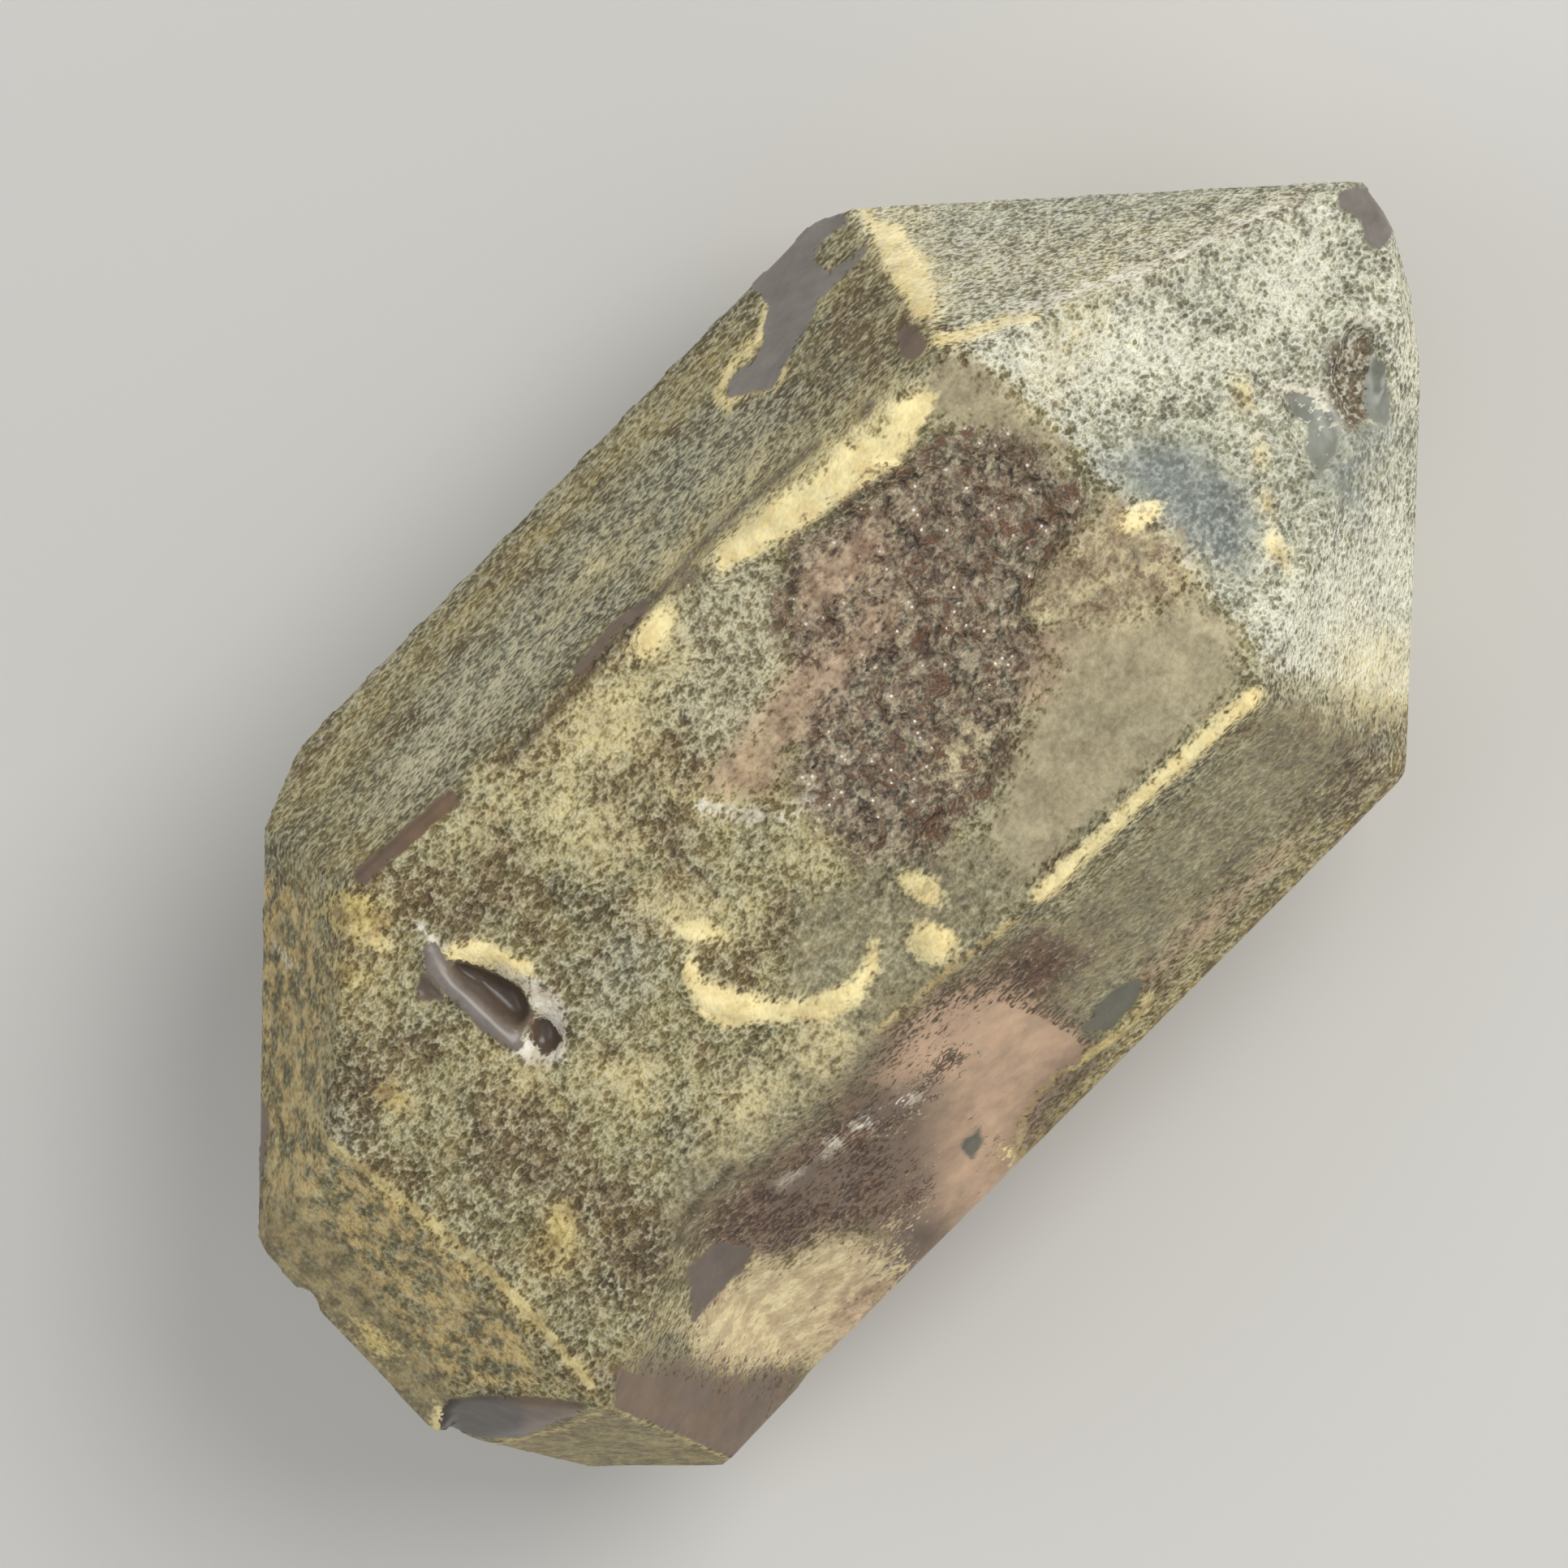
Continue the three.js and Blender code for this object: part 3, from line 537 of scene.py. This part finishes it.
        {"line": [(-2.5, -9.2), (-2.2, -9.5)], "width": 0.36},
        {"line": [(2.2, 0.4), (1.3, 1.4), (0.6, 2.6)], "width": 0.34},
        {"spot": (3.0, 0.2), "size": (0.9, 0.4), "turn": 0},
        # a painted glint: a white highlight dot on the crust
        {"spot": (-13.9, 9.1), "size": (0.3, 0.9), "turn": 20},
    ],
    "brownSpot": [
        {"outline": [(25.7, -1.6), (26.9, -2.2), (26.2, -3.1), (24.9, -4.3), (24.2, -4.2), (24.3, -3.2),
                     (24.9, -2.2)]},
        {"line": [(7.4, 5.0), (9.3, 6.6), (11.6, 5.9), (12.7, 5.8), (13.8, 5.2)], "width": 0.4},
        {"spot": (14.0, 7.9), "size": (0.8, 0.4), "turn": 0},
        {"spot": (5.7, 8.2), "size": (0.9, 0.4), "turn": 0},
        {"line": [(-10.6, -7.1), (-9.9, -6.7), (-8.6, -6.7), (-7.4, -6.7)], "width": 0.26},
        {"spot": (17.9, -7.6), "size": (0.6, 0.3), "turn": 0},
        {"spot": (15.4, -2.0), "size": (0.4, 0.3), "turn": 0},
        {"spot": (16.9, -1.9), "size": (0.6, 0.3), "turn": 60},
        {"line": [(-3.0, 8.3), (1.0, 8.4), (5.0, 8.6), (8.0, 8.7), (12.0, 8.3)], "width": 0.3},
        {"line": [(-18.7, 5.5), (-20.6, 4.0), (-22.4, 2.8)], "width": 0.26},
    ],
}


def distanceToLine(points, line):
    best = np.full(len(points), 1e9)
    for start, end in zip(line[:-1], line[1:]):
        start, end = np.array(start, float), np.array(end, float)
        span = end - start
        share = np.clip((points - start) @ span / (span @ span), 0, 1)
        gap = points - start - share[:, None] * span
        best = np.minimum(best, np.hypot(gap[:, 0], gap[:, 1]))
    return best


def insideOutline(points, outline):
    inside = np.zeros(len(points), bool)
    for (x1, y1), (x2, y2) in zip(outline, outline[1:] + outline[:1]):
        crosses = (y1 > points[:, 1]) != (y2 > points[:, 1])
        height = (points[:, 1] - y1) / (y2 - y1) if y2 != y1 else 0
        inside ^= crosses & (points[:, 0] < x1 + (x2 - x1) * height)
    return inside


def depthInShape(points, shape):  # mm, above 0 inside the shape and below 0 outside
    if "outline" in shape:
        outline = shape["outline"]
        gap = distanceToLine(points, outline + outline[:1])
        return np.where(insideOutline(points, outline), gap, -gap)
    if "line" in shape:
        return shape["width"] / 2 - distanceToLine(points, shape["line"])
    turn = math.radians(shape["turn"])
    away = points - np.array(shape["spot"])
    along = away @ np.array((math.cos(turn), math.sin(turn)))
    across = away @ np.array((-math.sin(turn), math.cos(turn)))
    length, width = shape["size"]
    reach = np.hypot(along / (length / 2), across / (width / 2))
    return (1 - reach) * min(length, width) / 2


def depthInAreas(places, name):
    depth = np.full(len(places), -8.0)
    rise = (places[:, 2] - crystalLook["beltHeight"]) * crystalLook["beltFade"]
    for shape in skinAreas[name]:
        ownSide = rise + crystalLook["upperReach"]
        if shape.get("under"):
            ownSide = -rise - crystalLook["underGap"]
        if "above" in shape:
            ownSide = places[:, 2] - shape["above"]
        depth = np.maximum(depth, np.minimum(depthInShape(places[:, :2], shape), ownSide))
    return depth


def selectOnly(piece):
    bpy.ops.object.select_all(action="DESELECT")
    piece.select_set(True)
    bpy.context.view_layer.objects.active = piece


def applyModifier(piece, name, kind, settings):
    modifier = piece.modifiers.new(name, kind)
    for key, value in settings.items():
        setattr(modifier, key, value)
    selectOnly(piece)
    bpy.ops.object.modifier_apply(modifier=modifier.name)


def placesOf(piece):
    places = np.empty(len(piece.data.vertices) * 3, np.float32)
    piece.data.vertices.foreach_get("co", places)
    return places.reshape(-1, 3).astype(float)


def copyOfSolid(name):
    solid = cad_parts[name]
    piece = solid.copy()
    piece.data = solid.data.copy()
    for key in list(piece.keys()):
        del piece[key]
    piece.parent = None
    bpy.context.collection.objects.link(piece)
    selectOnly(piece)
    bpy.ops.object.mode_set(mode="EDIT")
    bpy.ops.mesh.select_all(action="SELECT")
    bpy.ops.mesh.remove_doubles(threshold=1e-7)
    bpy.ops.object.mode_set(mode="OBJECT")
    return piece


def fineMesh(piece):
    voxel = crystalLook["voxel"]
    applyModifier(piece, "fineSkin", "REMESH", {"mode": "VOXEL", "voxel_size": voxel * mm})
    applyModifier(piece, "wornEdges", "SMOOTH", {"factor": 0.5, "iterations": crystalLook["smoothing"]})


def weightGroup(piece, name, weights):
    group = piece.vertex_groups.new(name=name)
    for index in np.nonzero(weights > 0.01)[0]:
        group.add([int(index)], float(weights[index]), "REPLACE")


def roughen(piece, name, weights, texture, strength):
    weightGroup(piece, name, weights)
    settings = {
        "texture": texture,
        "texture_coords": "LOCAL",
        "vertex_group": name,
        "strength": strength * mm,
        "mid_level": 1.0,
    }
    applyModifier(piece, name, "DISPLACE", settings)


def keepInBox(piece):
    low = np.array(cadBox[0]) + crystalLook["inset"] * mm * np.array((1, 1, 0))
    high = np.array(cadBox[1]) - crystalLook["inset"] * mm
    places = np.clip(placesOf(piece), low, high)
    piece.data.vertices.foreach_set("co", places.astype(np.float32).ravel())
    piece.data.update()


def growthPlaces(piece):
    return placesOf(piece) / mm + np.array((axisShift, 0, 0))


def markAreas(piece):
    places = growthPlaces(piece)
    for name in skinAreas:
        area = piece.data.attributes.new(name, "FLOAT", "POINT")
        area.data.foreach_set("value", depthInAreas(places, name).astype(np.float32))


def makeCrystal():
    crystal = copyOfSolid("quartz_crystal")
    crystal.name = "crystal"
    crystal.data.name = "crystal"
    fineMesh(crystal)
    places = growthPlaces(crystal)
    druseLook = crystalLook["druse"]
    druse = np.clip(depthInAreas(places, "hollow") / druseLook["fade"], 0, 1)
    cells = bpy.data.textures.new("druseCells", "VORONOI")
    cells.noise_scale = druseLook["size"] * mm
    cells.noise_intensity = druseLook["intensity"]
    roughen(crystal, "druseRelief", druse, cells, druseLook["height"])
    keepInBox(crystal)
    markAreas(crystal)
    crystal.data.materials.clear()
    crystal.data.materials.append(quartzMaterial())
    selectOnly(crystal)
    bpy.ops.object.shade_smooth()
    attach(crystal, "root")
    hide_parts("quartz_crystal")
    print("crystal made with", sum(len(face.vertices) - 2 for face in crystal.data.polygons), "triangles")


clearLook = {
    "transmission": 0.42,
    "ior": 1.544,
    "roughness": 0.3,
    "absorption": (0.62, 0.50, 0.42, 1),
    "density": 25.0,  # per metre
    "ripple": {"scale": 0.8, "strength": 0.3, "depth": 0.15},  # per mm, a share, mm
    "smoky": srgb(0.55, 0.45, 0.37),
    "brown": srgb(0.57, 0.46, 0.35),
    "tones": {  # colours of some windows, and how softly they end, in mm
        "deepClear": (srgb(0.37, 0.33, 0.29), 0.2),
        "pitClear": (srgb(0.49, 0.42, 0.36), 0.2),
        "paleClear": (srgb(0.64, 0.60, 0.56), 0.3),
        "greyClear": (srgb(0.66, 0.67, 0.61), 0.3),
        # a painted pink light seen through the window, laid into the glass tint
        "paintedPinkSeenThrough": (srgb(1.0, 0.83, 0.67), 1.2),
        "stain": (srgb(0.48, 0.47, 0.39), 0.1),
    },
}
groundLook = {
    "greyOlive": srgb(0.50, 0.48, 0.37),
    "yellowOlive": srgb(0.70, 0.66, 0.48),
    "brownOlive": srgb(0.52, 0.44, 0.31),
}
# For each kind of skin: its two colours, how much they cover, how far its edge wanders, frays and fades
# in mm, how much darker (below 0) or lighter its grain is, and how strong the grain is. A later kind lies
# over an earlier one.
skinTones = {
    "mustard": {
        "colours": (srgb(0.60, 0.53, 0.36), srgb(0.74, 0.66, 0.42)),
        "share": 0.75, "edge": (3.4, 2, 1.2), "lean": 0.005, "grain": 1.2,
    },
    "shade": {
        "colours": (srgb(0.44, 0.38, 0.30), srgb(0.58, 0.51, 0.38)),
        "share": 0.85, "edge": (3.2, 2, 1.2), "lean": -0.02, "grain": 1.5,
    },
    "dusky": {
        "colours": (srgb(0.53, 0.53, 0.46), srgb(0.67, 0.65, 0.55)),
        "share": 0.85, "edge": (2.4, 4, 0.9), "lean": 0.015, "grain": 1.55,
    },
    # blotchy: yellow blobs over a dark ground; the light colour is also brightened into a painted highlight on the
    # blob tops
    "blotchy": {
        "colours": (srgb(0.47, 0.44, 0.31), srgb(0.84, 0.73, 0.49)),
        "share": 0.92, "edge": (0.6, 2, 0.4), "lean": 0, "grain": 0.7,
    },
    "waxy": {
        "colours": (srgb(0.51, 0.46, 0.34), srgb(0.63, 0.57, 0.41)),
        "share": 0.8, "edge": (1.4, 2, 0.8), "lean": 0, "grain": 0.4,
    },
    "silver": {
        "colours": (srgb(0.63, 0.63, 0.55), srgb(0.79, 0.79, 0.68)),
        "share": 0.95, "edge": (0.8, 1.5, 0.2), "lean": 0.02, "grain": 1.15,
    },
    "bluish": {
        "colours": (srgb(0.41, 0.44, 0.43), srgb(0.48, 0.51, 0.49)),
        "share": 0.95, "edge": (1.2, 2, 0.7), "lean": 0, "grain": 0.4,
    },
    "frost": {
        "colours": (srgb(0.85, 0.84, 0.74), srgb(0.97, 0.96, 0.85)),
        "share": 0.8, "edge": (1.8, 4, 0.9), "lean": 0.04, "grain": 1.35,
    },
    "gritty": {
        "colours": (srgb(0.71, 0.68, 0.56), srgb(0.86, 0.83, 0.69)),
        "share": 0.85, "edge": (1.6, 2, 0.8), "lean": 0.015, "grain": 1.5,
    },
    "fineOlive": {
        "colours": (srgb(0.53, 0.50, 0.40), srgb(0.60, 0.56, 0.43)),
        "share": 0.85, "edge": (1.8, 2, 1.0), "lean": 0, "grain": 0.6,
    },
    "plum": {
        "colours": (srgb(0.42, 0.33, 0.28), srgb(0.53, 0.42, 0.34)),
        "share": 0.95, "edge": (1.6, 3, 0.8), "lean": -0.045, "grain": 1.1,
    },
    "tan": {
        "colours": (srgb(0.62, 0.57, 0.45), srgb(0.69, 0.64, 0.51)),
        "share": 0.95, "edge": (1.4, 2, 0.6), "lean": 0, "grain": 0.28,
    },
    "hollow": {
        "colours": (srgb(0.47, 0.38, 0.31), srgb(0.62, 0.56, 0.47)),
        "share": 0.95, "edge": (1.8, 2.5, 0.45), "lean": 0, "grain": 0.7,
    },
    "creamy": {
        "colours": (srgb(0.84, 0.78, 0.58), srgb(0.94, 0.87, 0.64)),
        "share": 0.8, "edge": (2.6, 2, 1.0), "lean": 0.01, "grain": 0.8,
    },
    "smoothCream": {
        "colours": (srgb(0.81, 0.71, 0.55), srgb(0.93, 0.86, 0.67)),
        "share": 0.92, "edge": (1.6, 2, 0.6), "lean": 0.005, "grain": 0.32,
    },
    "rosy": {
        "colours": (srgb(0.62, 0.51, 0.41), srgb(0.78, 0.66, 0.54)),
        "share": 0.8, "edge": (1.2, 3, 0.6), "lean": 0, "grain": 0.35,
    },
    "knobbly": {
        "colours": (srgb(0.62, 0.54, 0.42), srgb(0.82, 0.76, 0.59)),
        "share": 0.9, "edge": (1.2, 2, 0.5), "lean": 0, "grain": 0.6,
    },
    "crust": {
        "colours": (srgb(0.94, 0.85, 0.60), srgb(1.0, 0.93, 0.69)),
        "share": 1.0, "edge": (0.8, 0.9, 0.2), "lean": 0.01, "grain": 0.3,
    },
    "thread": {
        "colours": (srgb(0.66, 0.57, 0.36), srgb(0.82, 0.75, 0.52)),
        "share": 0.9, "edge": (0.3, 0.6, 0.08), "lean": 0.01, "grain": 0.5,
    },
    "ochre": {
        "colours": (srgb(0.70, 0.60, 0.37), srgb(0.88, 0.79, 0.50)),
        "share": 0.85, "edge": (0.8, 2, 0.25), "lean": 0, "grain": 0.7,
    },
    "whitish": {
        "colours": (srgb(0.82, 0.77, 0.68), srgb(0.98, 0.96, 0.90)),
        "share": 0.95, "edge": (0.7, 0.9, 0.22), "lean": 0.01, "grain": 0.35,
    },
    "brownSpot": {
        "colours": (srgb(0.30, 0.25, 0.18), srgb(0.44, 0.37, 0.27)),
        "share": 0.9, "edge": (0.3, 1.2, 0.12), "lean": 0, "grain": 0.8,
    },
}
grainLook = {
    "clouds": 0.42,  # per mm, as the next four
    "spots": 1.4,
    "flecks": 2.3,
    "fine": 6.0,
    "druse": 3.4,
    "swells": {"scale": 1.1, "share": 0.8},
    "darkest": (0.42, 0.36, 0.26),  # share of the ground colour in the darkest grains
    "lightest": srgb(0.88, 0.85, 0.70),
    # the lightest grains of the silver face: their own pale colour pushed to white as painted highlights
    "silverGrainAndHighlight": srgb(1.0, 0.99, 0.91),
    "depth": 0.5,  # mm
    # colour of the painted glints, white highlight dots
    "paintedGlintColour": srgb(0.97, 0.96, 0.93),
    "rust": srgb(0.42, 0.29, 0.19),
}


def quartzMaterial():
    material = bpy.data.materials.new("quartzWithSkin")
    nodes = Nodes(material)
    objectPlace = nodes.add("ShaderNodeTexCoord", output=3)
    place = nodes.tinted(objectPlace, 1 / mm)
    streaked = nodes.product(place, (0.7, 1.0, 1.0))

    cloud, otherCloud, thirdCloud = nodes.noises(place, grainLook["clouds"], detail=4, roughness=0.65)
    spots, otherSpots, thirdSpots = nodes.noises(place, grainLook["spots"], detail=3, roughness=0.6)
    flecks = nodes.noise(streaked, grainLook["flecks"], detail=2, roughness=0.65)
    fine = nodes.noise(streaked, grainLook["fine"], detail=1, roughness=0.6)
    fringe = flecks * 0.36 + fine * 0.64 - 0.5
    wander = cloud * 0.4 + otherSpots * 0.6 - 0.5

    ground = nodes.mix(otherCloud.rising(0.37, 0.63), groundLook["greyOlive"], groundLook["yellowOlive"])
    ground = nodes.mix(thirdCloud.rising(0.50, 0.62) * 0.8, ground, groundLook["brownOlive"])
    ground = nodes.mix(spots.rising(0.48, 0.66) * 0.4, ground, groundLook["yellowOlive"])
    patches = spots.rising(0.38, 0.62)
    masks = {}
    contrast = thirdSpots.timesPlus(1.8, 0.4)
    lean = 0.06 - thirdCloud * 0.12
    for name, look in skinTones.items():
        ragged, frayed, soft = look["edge"]
        depth = fringe.timesPlus(frayed, wander.timesPlus(ragged, nodes.area(name)))
        mask = depth.rising(-soft, soft)
        ground = nodes.mix(mask * look["share"], ground, nodes.mix(patches, *look["colours"]))
        if look["lean"]:
            lean = mask.timesPlus(look["lean"], lean)
        contrast = nodes.blend(mask, contrast, look["grain"])
        masks[name] = mask
    ground = nodes.tinted(ground, (cloud - 0.5) * 0.8 + (thirdSpots - 0.5) * 0.6 + 1.02)

    # druse: small crystals side by side, with painted light and shade: each crystal gets its own brightness, as its
    # facets would catch the light, and painted shade darkens it toward its border
    druse = masks["hollow"] * (1 - masks["rosy"])
    middle, lot = nodes.cells(place, grainLook["druse"])
    druseShading = (lot * 0.9 + 0.75 - middle * 0.7) * druse + (1 - druse)
    ground = nodes.tinted(ground, druseShading)

    grain = fringe * contrast + lean
    darkGrain = (-1 * grain).rising(-0.02, 0.15) * 0.85
    lightGrain = grain.rising(-0.02, 0.16) * 0.6
    # On the silver face the light grains are partly their own colour and partly painted highlight.
    lightest = nodes.mix(masks["silver"], grainLook["lightest"], grainLook["silverGrainAndHighlight"])
    skinColour = nodes.mix(darkGrain, ground, nodes.product(ground, grainLook["darkest"]))
    skinColour = nodes.mix(lightGrain, skinColour, lightest)

    rusty = (otherSpots + fringe * 0.9).rising(0.57, 0.66)
    rusty = rusty * (druse * 0.9).higher(masks["knobbly"] * 0.7).higher(masks["shade"] * 0.4 + 0.06)
    skinColour = nodes.mix(rusty, skinColour, grainLook["rust"])
    # Painted glints: white highlight dots on single druse cells, mostly in the hollow, standing in for light glinting
    # off facets.
    paintedGlint = (0.22 - middle).rising(0.0, 0.1) * lot.rising(0.74, 0.78)
    paintedGlint = paintedGlint * (druse + masks["shade"] * 0.3 + 0.06)
    skinColour = nodes.mix(paintedGlint, skinColour, grainLook["paintedGlintColour"])

    swells = grainLook["swells"]
    relief = fringe + nodes.noise(place, swells["scale"], detail=1) * swells["share"]
    bump = nodes.add(
        "ShaderNodeBump",
        None,
        {"Height": relief, "Strength": (contrast * 0.9).lower(1.0), "Distance": grainLook["depth"] * mm},
    )
    skin = nodes.add(
        "ShaderNodeBsdfPrincipled",
        None,
        {
            "Base Color": skinColour,
            "Roughness": 0.7 - masks["hollow"] * 0.3 - masks["tan"] * 0.15 - masks["silver"] * 0.15,
            "Normal": bump,
            "IOR": 1.5,
        },
    )

    tint = nodes.mix(otherCloud.rising(0.40, 0.60), clearLook["smoky"], clearLook["brown"])
    for name, (colour, soft) in clearLook["tones"].items():
        tint = nodes.mix((nodes.area(name) + wander * 0.6).rising(-soft, soft), tint, colour)
    tint = nodes.tinted(tint, (cloud - 0.5) * 1.1 + (spots - 0.5) * 0.7 + fringe * 0.35 + 1.0)
    ripple = clearLook["ripple"]
    glassBump = nodes.add(
        "ShaderNodeBump",
        None,
        {
            "Height": nodes.noise(place, ripple["scale"], detail=1),
            "Strength": ripple["strength"],
            "Distance": ripple["depth"] * mm,
        },
    )
    glass = nodes.add(
        "ShaderNodeBsdfPrincipled",
        None,
        {
            "Base Color": tint,
            "Roughness": clearLook["roughness"],
            "IOR": clearLook["ior"],
            "Transmission Weight": clearLook["transmission"],
            "Normal": glassBump,
        },
    )
    grime = (nodes.area("grime") + wander * 2.0 + fringe * 4).rising(-0.1, 0.1)
    crisp = (nodes.area("clear") + wander * 0.6 + fringe * 0.5).rising(-0.05, 0.05)
    hazy = (nodes.area("haze") + wander * 1.6 + fringe * 7).rising(-0.6, 0.8)
    opening = crisp.higher(hazy) * (1 - grime)
    surface = nodes.add("ShaderNodeMixShader", None, {0: opening, 1: skin, 2: glass})
    smoke = nodes.add(
        "ShaderNodeVolumeAbsorption",
        None,
        {"Color": clearLook["absorption"], "Density": clearLook["density"]},
    )
    nodes.add("ShaderNodeOutputMaterial", None, {"Surface": surface, "Volume": smoke})
    return material


def makeTable():
    bpy.ops.mesh.primitive_plane_add(size=tableLook["size"], location=(0, 0, 0))
    table = bpy.context.object
    table.name = "table"
    material = bpy.data.materials.new("paleTable")
    nodes = Nodes(material)
    paint = nodes.add(
        "ShaderNodeBsdfPrincipled",
        None,
        {"Base Color": srgb(*tableLook["colour"]), "Roughness": tableLook["roughness"]},
    )
    nodes.add("ShaderNodeOutputMaterial", None, {"Surface": paint})
    table.data.materials.append(material)


bpy.context.scene.view_settings.view_transform = "Standard"
makeCamera()
for lightName in ("key", "fill", "low"):
    makeLight(lightName)
makeDome()
print("camera and lights set")
makeTable()
makeCrystal()

print("box of the solids", [round(v / mm, 3) for v in (*cadBox[0], *cadBox[1])])
